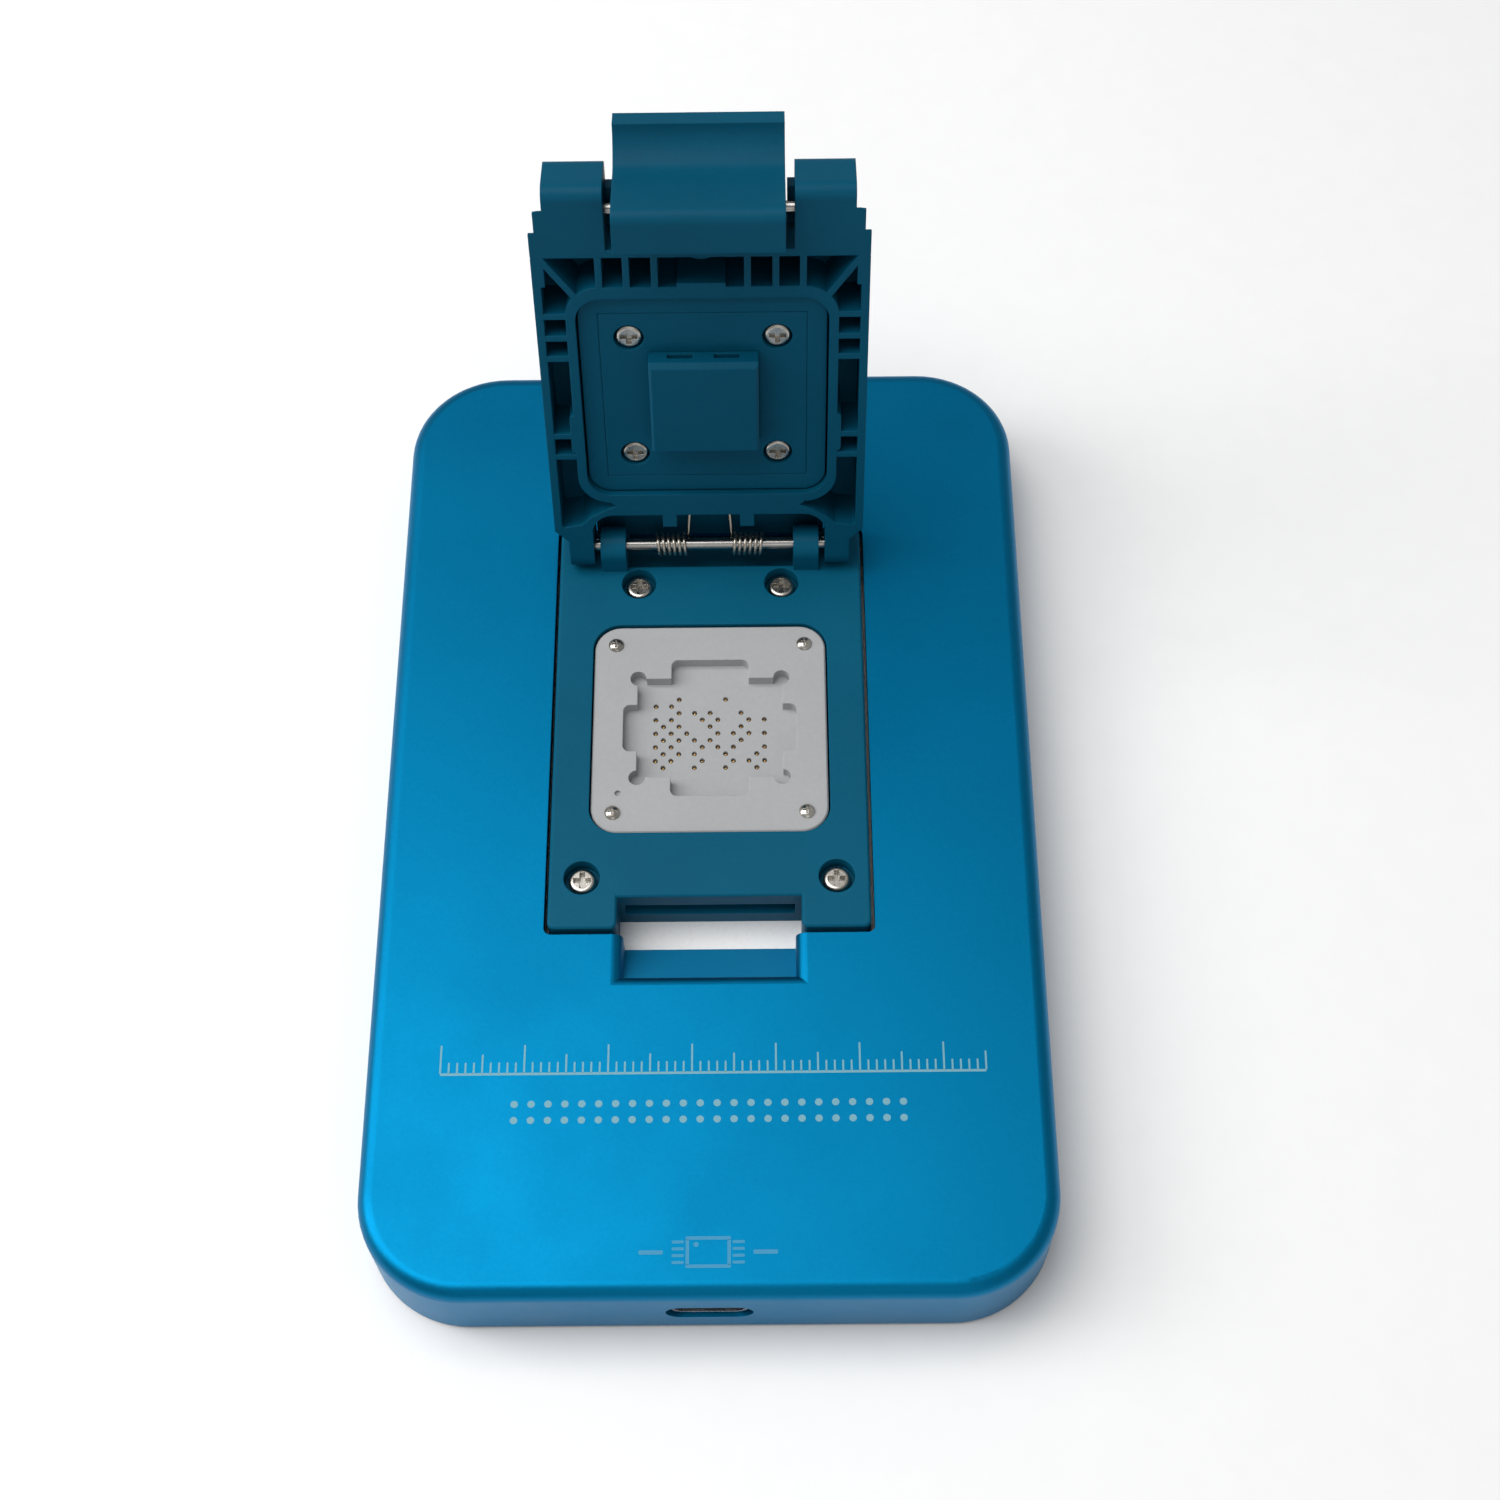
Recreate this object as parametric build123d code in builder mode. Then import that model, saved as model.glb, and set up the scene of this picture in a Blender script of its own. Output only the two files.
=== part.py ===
from build123d import *
import os
from math import sin, cos, radians, pi

os.makedirs("parts", exist_ok=True)

# ---------------------------------------------------------------- dimensions (mm)
# Frame: origin under the middle of the case, z = 0 at the underside of the rubber
# feet, +Z up, front of the case (cable side) towards -Y, +X to the right.
FOOT = 0.8                 # height the feet hold the case above the table
BODY_W, BODY_L, BODY_T = 82.0, 130.4, 12.0
BODY_R = 12.6              # plan corner radius
EDGE_R = 1.9               # rounded top edge
WALL, TOP_WALL = 1.6, 1.8

Z0 = FOOT                  # underside of the case
ZTOP = Z0 + BODY_T         # top face of the case
PCB_Z0, PCB_Z1 = Z0 + 3.2, Z0 + 4.8
COVER_T = 1.5
COVER_W, COVER_L, COVER_R = 78.5, 126.9, 10.85

POST_XY = [(33.5, 57.5), (-33.5, 57.5), (33.5, -57.5), (-33.5, -57.5)]
BOSS_XY = [(33.5, 28.0), (-33.5, 28.0), (33.5, -30.0), (-33.5, -30.0)]
FOOT_XY = [(27.0, 48.0), (-27.0, 48.0), (27.0, -48.0), (-27.0, -48.0)]

USB_Z = Z0 + 5.4           # centre height of the cable socket
USB_W, USB_H, USB_LEN = 8.94, 3.26, 7.6

# socket base
SB_HX, SB_Y0, SB_Y1 = 19.9, -19.5, 38.6
SB_ZT = Z0 + 12.5
NOTCH_HX, NOTCH_Y = 11.4, -15.3
LIP_Z = Z0 + 9.9
WIN, WIN_R = 30.4, 3.6
NEST_Y = 8.65              # centre of the chip nest
FRONT_SCREWS = [(15.8, -12.7), (-15.8, -12.7)]
REAR_SCREWS = [(9.4, 30.2), (-9.4, 30.2)]

# guide plate and contacts
GP, GP_R = 30.0, 3.5
GP_ZT, GP_ZB = Z0 + 12.2, Z0 + 9.8
NEST_W, NEST_H, NEST_Z = 18.7, 14.4, Z0 + 10.6
PIN_ZT = Z0 + 9.15
GP_SCREW = [(12.25, NEST_Y + 12.25), (-12.25, NEST_Y + 12.25), (12.25, NEST_Y - 12.25), (-12.25, NEST_Y - 12.25)]
GRID = [(-4, 5), (2, 5), (-7, 4), (-5, 4), (-4, 3), (-2, 3), (0, 3), (4, 3), (-7, 2), (-5, 2), (-1, 2), (1, 2),
        (5, 2), (7, 2), (-6, 1), (-4, 1), (0, 1), (4, 1), (-7, 0), (-5, 0), (-3, 0), (1, 0), (3, 0), (5, 0), (7, 0),
        (-6, -1), (-4, -1), (-2, -1), (0, -1), (4, -1), (-7, -2), (-5, -2), (-1, -2), (1, -2), (3, -2), (7, -2),
        (-6, -3), (-4, -3), (-2, -3), (2, -3), (6, -3), (-7, -4), (-5, -4), (-1, -4), (3, -4), (5, -4), (7, -4),
        (-6, -5), (-2, -5), (2, -5), (6, -5)]
CONTACTS = [(float(i), 8.6 + float(j)) for i, j in GRID]
TIP_R, BARREL_R, BARREL_BORE = 0.22, 0.32, 0.26

# hinge
HY, HZ = 34.6, Z0 + 15.3
PIN_R = 0.8
OPEN = 105.0
LID = Plane(origin=(0, HY, HZ), x_dir=(1, 0, 0), z_dir=(0, sin(radians(OPEN)), cos(radians(OPEN))))
LID_Y = Axis((0, HY, HZ), LID.y_dir)
LID_UP = Axis((0, HY, HZ), LID.z_dir)

# lid, in the lid's own plane: x across, y = -(distance in front of the hinge), z = height when shut
L_Z0, L_Z1 = -2.6, 4.65
L_TOP = 1.25               # top plate thickness
PAD_A, PAD = 25.95, 30.0   # centre and size of the pressure plate
PAD_Z0, PAD_Z1 = -1.8, 0.7
PAD_SCREW = [(9.0, -PAD_A + 9.0), (-9.0, -PAD_A + 9.0), (9.0, -PAD_A - 9.0), (-9.0, -PAD_A - 9.0)]
LATCH_A, LATCH_Z = 51.0, 1.65


def save(part, name):
    part.label = name
    export_step(part, "parts/" + name + ".step")


def up(h):
    return Plane.XY.offset(h)


def lid(h):
    return LID.offset(h)


# ---------------------------------------------------------------- case
with BuildPart() as top_shell:
    with BuildSketch(up(Z0)):
        RectangleRounded(BODY_W, BODY_L, BODY_R)
    extrude(amount=BODY_T)
    fillet(top_shell.faces().sort_by(Axis.Z)[-1].edges(), EDGE_R)
    with BuildSketch(up(Z0)):
        RectangleRounded(BODY_W - 2 * WALL, BODY_L - 2 * WALL, BODY_R - WALL)
    extrude(amount=BODY_T - TOP_WALL, mode=Mode.SUBTRACT)
    # posts for the cover screws and bosses for the board screws
    with BuildSketch(up(Z0 + COVER_T)):
        with Locations(*POST_XY):
            Circle(3.1)
    extrude(until=Until.NEXT)
    with BuildSketch(up(PCB_Z1)):
        with Locations(*BOSS_XY):
            Circle(2.4)
    extrude(until=Until.NEXT)
    # block that carries the finger ramp in front of the socket
    with BuildSketch(up(Z0 + 5.3)):
        with Locations((0, -25.3)):
            Rectangle(28.0, 10.4)
    extrude(until=Until.NEXT)
    # socket window
    with BuildSketch(up(Z0 + 2.0)):
        with Locations((0, 9.475)):
            RectangleRounded(40.7, 59.15, 0.9)
    extrude(amount=BODY_T, mode=Mode.SUBTRACT)
    # finger ramp
    with BuildSketch(Plane.YZ.offset(-10.6)):
        with BuildLine():
            Polyline((-20.0, Z0 + 7.0), (-25.5, Z0 + 10.3), (-25.5, ZTOP + 1.0), (-19.0, ZTOP + 1.0), (-19.0, Z0 + 5.0), (-20.0, Z0 + 5.0), close=True)
        make_face()
    extrude(amount=21.2, mode=Mode.SUBTRACT)
    fillet(top_shell.edges().filter_by_position(Axis.Z, ZTOP - 0.01, ZTOP + 0.01).filter_by_position(Axis.Y, -27.0, -20.3).filter_by_position(Axis.X, -11.0, 11.0), 1.4)
    # cable opening through the front wall
    with BuildSketch(Plane.XZ.offset(BODY_L / 2 - 2.6)):
        with Locations((0, USB_Z)):
            RectangleRounded(10.2, 3.9, 1.94)
    extrude(amount=4.0, mode=Mode.SUBTRACT)
    # screw pilot holes
    with BuildSketch(up(Z0 + COVER_T)):
        with Locations(*POST_XY):
            Circle(1.28)
    extrude(amount=7.6, mode=Mode.SUBTRACT)
    with BuildSketch(up(PCB_Z1)):
        with Locations(*BOSS_XY):
            Circle(1.03)
    extrude(amount=4.6, mode=Mode.SUBTRACT)
save(top_shell.part, "top_shell")

with BuildPart() as bottom_cover:
    with BuildSketch(up(Z0)):
        RectangleRounded(COVER_W, COVER_L, COVER_R)
    extrude(amount=COVER_T)
    fillet(bottom_cover.faces().sort_by(Axis.Z)[0].edges(), 0.3)
    with BuildSketch(up(Z0)):
        with Locations(*FOOT_XY):
            Circle(4.1)
    extrude(amount=0.4, mode=Mode.SUBTRACT)
    with Locations(*[Pos(x, y, Z0) * Rot(180, 0, 0) for x, y in POST_XY]):
        CounterSinkHole(radius=1.4, counter_sink_radius=2.5, depth=3.0)
save(bottom_cover.part, "bottom_cover")

with BuildPart() as cover_screws:
    with BuildSketch(Plane.XZ):
        with BuildLine():
            Polyline((0, Z0 + 0.12), (2.35, Z0 + 0.12), (1.2, Z0 + 1.27), (1.2, Z0 + 8.2), (0, Z0 + 8.7), close=True)
        make_face()
    revolve(axis=Axis.Z)
    with BuildSketch(up(Z0)):
        Rectangle(2.4, 0.5)
        Rectangle(0.5, 2.4)
    extrude(amount=0.85, mode=Mode.SUBTRACT)
one = cover_screws.part
with BuildPart() as cover_screws:
    with Locations(*[Pos(x, y, 0) for x, y in POST_XY]):
        add(one)
save(cover_screws.part, "cover_screws")

with BuildPart() as rubber_feet:
    with BuildSketch(Plane.XY):
        with Locations(*FOOT_XY):
            Circle(4.0)
    extrude(amount=FOOT + 0.4)
    fillet(rubber_feet.edges().group_by(Axis.Z)[0], 0.3)
save(rubber_feet.part, "rubber_feet")

# ---------------------------------------------------------------- circuit board
with BuildPart() as main_pcb:
    with BuildSketch(up(PCB_Z0)):
        RectangleRounded(77.6, 126.0, 10.6)
        with Locations(*POST_XY):
            Circle(3.8, mode=Mode.SUBTRACT)
        with Locations(*BOSS_XY, *FRONT_SCREWS, *REAR_SCREWS):
            Circle(1.1, mode=Mode.SUBTRACT)
        with Locations((0, -60.0)):
            Rectangle(9.4, 6.4, mode=Mode.SUBTRACT)
    extrude(amount=PCB_Z1 - PCB_Z0)
save(main_pcb.part, "main_pcb")


def pan_head(r, h, flute, depth):
    """Pan-head machine screw along +Z from z = 0 (underside of the head), shank below it."""
    with BuildPart() as s:
        with BuildSketch(Plane.XY):
            Circle(r)
        extrude(amount=h)
        fillet(s.faces().sort_by(Axis.Z)[-1].edges(), h * 0.42)
        with BuildSketch(Plane.XY.offset(h)):
            Rectangle(flute, flute * 0.3)
            Rectangle(flute * 0.3, flute)
        extrude(amount=-depth, mode=Mode.SUBTRACT)
    return s.part


def screw(r_head, h, r_shank, length, flute=None, depth=None):
    head = pan_head(r_head, h, flute or r_head * 1.15, depth or h * 0.6)
    with BuildPart() as s:
        add(head)
        with BuildSketch(Plane.XY):
            Circle(r_shank)
        extrude(amount=-length)
        chamfer(s.faces().sort_by(Axis.Z)[0].edges(), r_shank * 0.3)
    return s.part


one = screw(1.9, 1.2, 1.0, 5.6)
with BuildPart() as pcb_screws:
    with Locations(*[Pos(x, y, PCB_Z0) * Rot(180, 0, 0) for x, y in BOSS_XY]):
        add(one)
save(pcb_screws.part, "pcb_screws")

UY0, UY1 = -64.7, -64.7 + USB_LEN
with BuildPart() as usb_receptacle_shell:
    with BuildSketch(Plane.XZ.offset(-UY1)):
        with Locations((0, USB_Z)):
            RectangleRounded(USB_W, USB_H, USB_H / 2 - 0.01)
    extrude(amount=UY1 - UY0)
    with BuildSketch(Plane.XZ.offset(-UY1 + 0.3)):
        with Locations((0, USB_Z)):
            RectangleRounded(USB_W - 0.6, USB_H - 0.6, (USB_H - 0.6) / 2 - 0.01)
    extrude(amount=USB_LEN + 1, mode=Mode.SUBTRACT)
    # tabs that are soldered to the board
    with BuildSketch(up(PCB_Z1)):
        with Locations((5.2, -61.6), (-5.2, -61.6), (5.2, -58.2), (-5.2, -58.2)):
            Rectangle(1.9, 1.1)
    extrude(amount=0.3)
save(usb_receptacle_shell.part, "usb_receptacle_shell")

with BuildPart() as usb_receptacle_tongue:
    with BuildSketch(Plane.XZ.offset(-UY1 + 0.3)):
        with Locations((0, USB_Z)):
            RectangleRounded(USB_W - 0.7, USB_H - 0.7, (USB_H - 0.7) / 2 - 0.01)
    extrude(amount=1.2)
    with BuildSketch(Plane.XZ.offset(-UY1 + 1.5)):
        with Locations((0, USB_Z)):
            Rectangle(6.69, 0.7)
    extrude(amount=4.6)
    with BuildSketch(Plane.XZ.offset(-UY1 + 1.5)):
        with Locations((0, USB_Z + 0.35), (0, USB_Z - 0.35)):
            with GridLocations(0.5, 0, 12, 1):
                Rectangle(0.25, 0.09, mode=Mode.ADD)
    extrude(amount=3.9, mode=Mode.SUBTRACT)
save(usb_receptacle_tongue.part, "usb_receptacle_tongue")

with BuildPart() as usb_receptacle_contacts:
    with BuildSketch(Plane.XZ.offset(-UY1 + 1.55)):
        with Locations((0, USB_Z + 0.33), (0, USB_Z - 0.33)):
            with GridLocations(0.5, 0, 12, 1):
                Rectangle(0.22, 0.05)
    extrude(amount=3.8)
save(usb_receptacle_contacts.part, "usb_receptacle_contacts")


def qfp(size, body, n, pitch, h, z=PCB_Z1):
    """Square flat package with n leads on each side, standing on the board."""
    with BuildPart() as c:
        with BuildSketch(Plane.XY.offset(z + 0.12)):
            Rectangle(body, body)
        extrude(amount=h)
        chamfer(c.edges().filter_by(Axis.Z), 0.3)
        with BuildSketch(Plane.XY.offset(z)):
            for k in range(4):
                with Locations(Rot(0, 0, 90 * k)):
                    with Locations((0, size / 2 - 0.75)):
                        with GridLocations(pitch, 0, n, 1):
                            Rectangle(pitch * 0.45, 1.5)
        extrude(amount=0.2)
        with Locations((body / 2 - 1.2, body / 2 - 1.2, z + 0.12 + h)):
            Hole(0.4, 0.12)
    return c.part


def soic(length, width, n, h, z=PCB_Z1):
    """Dual in line surface package with n leads on each long side."""
    with BuildPart() as c:
        with BuildSketch(Plane.XY.offset(z + 0.12)):
            Rectangle(length, width)
        extrude(amount=h)
        with BuildSketch(Plane.XY.offset(z)):
            with Locations((0, width / 2 + 0.45), (0, -width / 2 - 0.45)):
                with GridLocations(1.27, 0, n, 1):
                    Rectangle(0.42, 1.5)
        extrude(amount=0.2)
        with Locations((-length / 2 + 0.8, width / 2 - 0.8, z + 0.12 + h)):
            Hole(0.3, 0.12)
    return c.part


with BuildPart() as mcu_chip:
    with Locations(Pos(2.0, -44.0, 0)):
        add(qfp(12.0, 10.0, 16, 0.5, 1.4))
save(mcu_chip.part, "mcu_chip")

with BuildPart() as usb_controller_chip:
    with Locations(Pos(-14.0, -51.0, 0)):
        add(qfp(9.0, 7.0, 12, 0.5, 1.2))
save(usb_controller_chip.part, "usb_controller_chip")

with BuildPart() as memory_chip:
    with Locations(Pos(19.0, -45.0, 0) * Rot(0, 0, 90)):
        add(soic(4.9, 3.9, 4, 1.5))
save(memory_chip.part, "memory_chip")

with BuildPart() as level_shifter_chips:
    with Locations(*[Pos(x, y, 0) for x, y in [(27.5, 0.0), (27.5, 14.0), (-27.5, 0.0), (-27.5, 14.0)]]):
        add(soic(6.4, 4.4, 5, 1.0))
save(level_shifter_chips.part, "level_shifter_chips")

with BuildPart() as crystal:
    with BuildSketch(up(PCB_Z1)):
        with Locations((-4.5, -55.0)):
            Rectangle(3.2, 2.5)
    extrude(amount=0.8)
    fillet(crystal.edges().filter_by(Axis.Z), 0.3)
save(crystal.part, "crystal")

with BuildPart() as voltage_regulators:
    with BuildSketch(up(PCB_Z1 + 0.1)):
        with Locations((-24.0, -40.0), (-24.0, -50.5)):
            Rectangle(6.5, 3.5)
    extrude(amount=1.6)
    with BuildSketch(up(PCB_Z1)):
        with Locations((-24.0, -43.0), (-24.0, -53.5)):
            Rectangle(3.0, 2.6)
        with Locations((-24.0, -38.0), (-24.0, -48.5)):
            with GridLocations(2.3, 0, 3, 1):
                Rectangle(0.75, 1.2)
    extrude(amount=0.3)
save(voltage_regulators.part, "voltage_regulators")

with BuildPart() as power_inductor:
    with BuildSketch(up(PCB_Z1)):
        with Locations((-14.0, -36.5)):
            RectangleRounded(5.0, 5.0, 0.8)
    extrude(amount=3.0)
    chamfer(power_inductor.faces().sort_by(Axis.Z)[-1].edges(), 0.4)
save(power_inductor.part, "power_inductor")

CAPS = [(10.5, -50.0, 0), (10.5, -38.5, 90), (-7.0, -41.0, 90), (-7.0, -47.0, 90), (16.0, -52.5, 0), (-18.6, -44.5, 0),
        (-31.0, -41.0, 90), (-31.0, -50.0, 90), (27.5, 6.8, 0), (27.5, 20.8, 0), (-27.5, 6.8, 0), (-27.5, 20.8, 0), (24.5, -49.0, 90), (-14.0, -41.5, 0)]
with BuildPart() as chip_capacitors:
    with BuildSketch(up(PCB_Z1)):
        for x, y, r in CAPS:
            with Locations(Location((x, y, 0), r)):
                Rectangle(2.0, 1.25)
    extrude(amount=1.0)
    fillet(chip_capacitors.edges().filter_by(Axis.Z), 0.12)
save(chip_capacitors.part, "chip_capacitors")

RES = [(14.0, -41.0, 90), (14.0, -44.0, 90), (14.0, -47.0, 90), (4.5, -55.2, 0), (7.5, -55.2, 0), (24.5, -41.5, 90), (27.0, -41.5, 90),
       (32.5, 2.0, 90), (32.5, 5.0, 90), (32.5, 12.0, 90), (-33.0, 2.0, 90), (-33.0, 5.0, 90), (-33.0, 12.0, 90), (-18.0, -38.0, 90)]
with BuildPart() as chip_resistors:
    with BuildSketch(up(PCB_Z1)):
        for x, y, r in RES:
            with Locations(Location((x, y, 0), r)):
                Rectangle(1.6, 0.8)
    extrude(amount=0.45)
save(chip_resistors.part, "chip_resistors")

with BuildPart() as status_leds:
    with BuildSketch(up(PCB_Z1)):
        with Locations((-9.0, -58.0), (9.0, -58.0)):
            Rectangle(1.6, 0.8)
    extrude(amount=0.6)
save(status_leds.part, "status_leds")

# ---------------------------------------------------------------- socket base
with BuildPart() as socket_base:
    with BuildSketch(up(PCB_Z1)):
        with Locations((0, (SB_Y0 + SB_Y1) / 2)):
            RectangleRounded(2 * SB_HX, SB_Y1 - SB_Y0, 0.9)
        with Locations((0, (NOTCH_Y + SB_Y0) / 2 - 2)):
            Rectangle(2 * NOTCH_HX, NOTCH_Y - SB_Y0 + 4, mode=Mode.SUBTRACT)
    extrude(amount=SB_ZT - PCB_Z1)
    fillet(socket_base.edges().filter_by(Axis.Z).filter_by_position(Axis.Y, SB_Y0 - 0.1, SB_Y0 + 0.1).filter_by_position(Axis.X, -12, 12), 0.8)
    chamfer(socket_base.faces().sort_by(Axis.Z)[-1].edges(), 0.25)
    # ears either side of the springs
    with BuildSketch(Plane.YZ.offset(-14.3)):
        with Locations((HY, (SB_ZT - 2 + HZ) / 2)):
            Rectangle(5.0, HZ - SB_ZT + 2)
        with Locations((HY, HZ)):
            Circle(2.5)
    extrude(amount=3.3)
    with BuildSketch(Plane.YZ.offset(11.0)):
        with Locations((HY, (SB_ZT - 2 + HZ) / 2)):
            Rectangle(5.0, HZ - SB_ZT + 2)
        with Locations((HY, HZ)):
            Circle(2.5)
    extrude(amount=3.3)
    # stops behind the lid's arms
    with BuildSketch(Plane.YZ.offset(-18.2)):
        with BuildLine():
            Polyline((37.5, SB_ZT - 1.0), (37.5, Z0 + 15.75), (38.05, Z0 + 15.75), (38.55, Z0 + 15.2), (38.55, SB_ZT - 1.0), close=True)
        make_face()
    extrude(amount=3.0)
    with BuildSketch(Plane.YZ.offset(15.2)):
        with BuildLine():
            Polyline((37.5, SB_ZT - 1.0), (37.5, Z0 + 15.75), (38.05, Z0 + 15.75), (38.55, Z0 + 15.2), (38.55, SB_ZT - 1.0), close=True)
        make_face()
    extrude(amount=3.0)
    # window for the pin block and the guide plate
    with BuildSketch(up(PCB_Z1 - 1)):
        with Locations((0, NEST_Y)):
            RectangleRounded(WIN, WIN, WIN_R)
    extrude(amount=SB_ZT, mode=Mode.SUBTRACT)
    # recess under the springs
    with BuildSketch(up(Z0 + 9.5)):
        with Locations((0, 32.8 + 3.5)):
            Rectangle(21.9, 7.0)
    extrude(amount=5.0, mode=Mode.SUBTRACT)
    # slot under the front lip, where the hook catches
    with BuildSketch(up(Z0 + 7.2)):
        with Locations((0, NOTCH_Y + 0.3)):
            Rectangle(21.2, 3.0)
    extrude(amount=LIP_Z - Z0 - 7.2, mode=Mode.SUBTRACT)
    # screw wells
    with BuildSketch(up(Z0 + 10.4)):
        with Locations(*FRONT_SCREWS, *REAR_SCREWS):
            Circle(2.28)
    extrude(amount=4.0, mode=Mode.SUBTRACT)
    with BuildSketch(up(PCB_Z1 - 1)):
        with Locations(*FRONT_SCREWS, *REAR_SCREWS):
            Circle(1.1)
    extrude(amount=8.0, mode=Mode.SUBTRACT)
    # hinge bore
    with BuildSketch(Plane.YZ.offset(-20)):
        with Locations((HY, HZ)):
            Circle(PIN_R + 0.02)
    extrude(amount=40.0, mode=Mode.SUBTRACT)
save(socket_base.part, "socket_base")

one = screw(1.75, 1.35, 1.0, 8.9, flute=2.2, depth=0.8)
with BuildPart() as socket_screws:
    with Locations(*[Pos(x, y, Z0 + 10.4) for x, y in FRONT_SCREWS + REAR_SCREWS]):
        add(one)
save(socket_screws.part, "socket_screws")

with BuildPart() as socket_nuts:
    with BuildSketch(up(PCB_Z0 - 1.2)):
        with Locations(*FRONT_SCREWS, *REAR_SCREWS):
            RegularPolygon(2.3, 6)
            Circle(1.02, mode=Mode.SUBTRACT)
    extrude(amount=1.2)
save(socket_nuts.part, "socket_nuts")

# ---------------------------------------------------------------- contacts
with BuildPart() as pin_block:
    with BuildSketch(up(PCB_Z1)):
        with Locations((0, NEST_Y)):
            RectangleRounded(30.2, 30.2, 3.5)
        with Locations(*CONTACTS):
            Circle(BARREL_R + 0.01, mode=Mode.SUBTRACT)
    extrude(amount=PIN_ZT - PCB_Z1)
    with BuildSketch(up(PIN_ZT)):
        with Locations(*GP_SCREW):
            Circle(1.35)
    extrude(amount=-2.2, mode=Mode.SUBTRACT)
    with BuildSketch(up(PIN_ZT)):
        with Locations(*GP_SCREW):
            Circle(0.52)
    extrude(amount=-4.0, mode=Mode.SUBTRACT)
save(pin_block.part, "pin_block")

with BuildPart() as contact_barrels:
    with BuildSketch(up(PCB_Z1)):
        with Locations(*CONTACTS):
            Circle(BARREL_R)
    extrude(amount=PIN_ZT - PCB_Z1 - 0.1)
    with BuildSketch(up(PIN_ZT)):
        with Locations(*CONTACTS):
            Circle(BARREL_BORE)
    extrude(amount=-3.3, mode=Mode.SUBTRACT)
save(contact_barrels.part, "contact_barrels")

TIP_Z = Z0 + 10.4
with BuildPart() as contact_plungers:
    with BuildSketch(up(PIN_ZT - 2.6)):
        with Locations(*CONTACTS):
            Circle(TIP_R)
    extrude(amount=TIP_Z - PIN_ZT + 2.6)
    chamfer(contact_plungers.faces().filter_by(Axis.Z).group_by(Axis.Z)[-1].edges(), 0.1)
save(contact_plungers.part, "contact_plungers")

with BuildPart() as guide_plate:
    with BuildSketch(up(GP_ZB)):
        with Locations((0, NEST_Y)):
            RectangleRounded(GP, GP, GP_R)
        with Locations(*GP_SCREW):
            Circle(0.6, mode=Mode.SUBTRACT)
    extrude(amount=GP_ZT - GP_ZB)
    chamfer(guide_plate.faces().sort_by(Axis.Z)[-1].outer_wire().edges(), 0.2)
    # chip nest with relieved corners and finger tabs
    with BuildSketch(up(NEST_Z)) as nest:
        with Locations((0, NEST_Y)):
            Rectangle(NEST_W, NEST_H)
        with Locations((9.25, 15.9), (-9.25, 15.9), (9.25, 1.4), (-9.25, 1.4)):
            Circle(1.05)
        with Locations((0, (18.6 - 1.25) / 2)):
            RectangleRounded(10.0, 18.6 + 1.25, 0.9)
        with Locations((0, 8.6)):
            RectangleRounded(22.3, 6.8, 0.9)
    extrude(amount=5.0, mode=Mode.SUBTRACT)
    with BuildSketch(up(GP_ZB - 1)):
        with Locations(*CONTACTS):
            Circle(0.33)
    extrude(amount=5.0, mode=Mode.SUBTRACT)
    with BuildSketch(up(GP_ZT)):
        with Locations((-11.6, -0.8)):
            Circle(0.4)
    extrude(amount=-0.4, mode=Mode.SUBTRACT)
save(guide_plate.part, "guide_plate")

with BuildPart() as g:
    with BuildSketch(Plane.XZ):
        with BuildLine():
            Line((0, GP_ZT + 0.55), (0, PIN_ZT - 3.8))
            Line((0, PIN_ZT - 3.8), (0.5, PIN_ZT - 3.8))
            Line((0.5, PIN_ZT - 3.8), (0.5, GP_ZT + 0.02))
            Line((0.5, GP_ZT + 0.02), (0.98, GP_ZT + 0.02))
            Line((0.98, GP_ZT + 0.02), (0.98, GP_ZT + 0.15))
            ThreePointArc((0.98, GP_ZT + 0.15), (0.62, GP_ZT + 0.43), (0, GP_ZT + 0.55))
        make_face()
    revolve(axis=Axis.Z)
    with BuildSketch(up(GP_ZT + 0.6)):
        Rectangle(1.0, 0.22)
        Rectangle(0.22, 1.0)
    extrude(amount=-0.38, mode=Mode.SUBTRACT)
one = g.part
with BuildPart() as guide_plate_screws:
    with Locations(*[Pos(x, y, 0) for x, y in GP_SCREW]):
        add(one)
save(guide_plate_screws.part, "guide_plate_screws")


def coil(radius, wire, height, turns):
    """Helical spring along +Z from z = 0, ends included in the height."""
    h = height - wire
    with BuildPart() as s:
        with BuildLine() as path:
            Helix(pitch=h / turns, height=h, radius=radius, center=(0, 0, wire / 2))
        with BuildSketch(Plane(origin=path.line @ 0, z_dir=path.line % 0)):
            Circle(wire / 2)
        sweep(is_frenet=True)
    return s.part


one = coil(0.9, 0.24, GP_ZB - (PIN_ZT - 2.2) - 0.02, 5)
with BuildPart() as guide_plate_springs:
    with Locations(*[Pos(x, y, PIN_ZT - 2.19) for x, y in GP_SCREW]):
        add(one)
save(guide_plate_springs.part, "guide_plate_springs")

# ---------------------------------------------------------------- hinge
with BuildPart() as hinge_pin:
    with BuildSketch(Plane.YZ.offset(-18.0)):
        with Locations((HY, HZ)):
            Circle(PIN_R)
    extrude(amount=36.0)
    chamfer(hinge_pin.edges(), 0.15)
save(hinge_pin.part, "hinge_pin")


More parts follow.
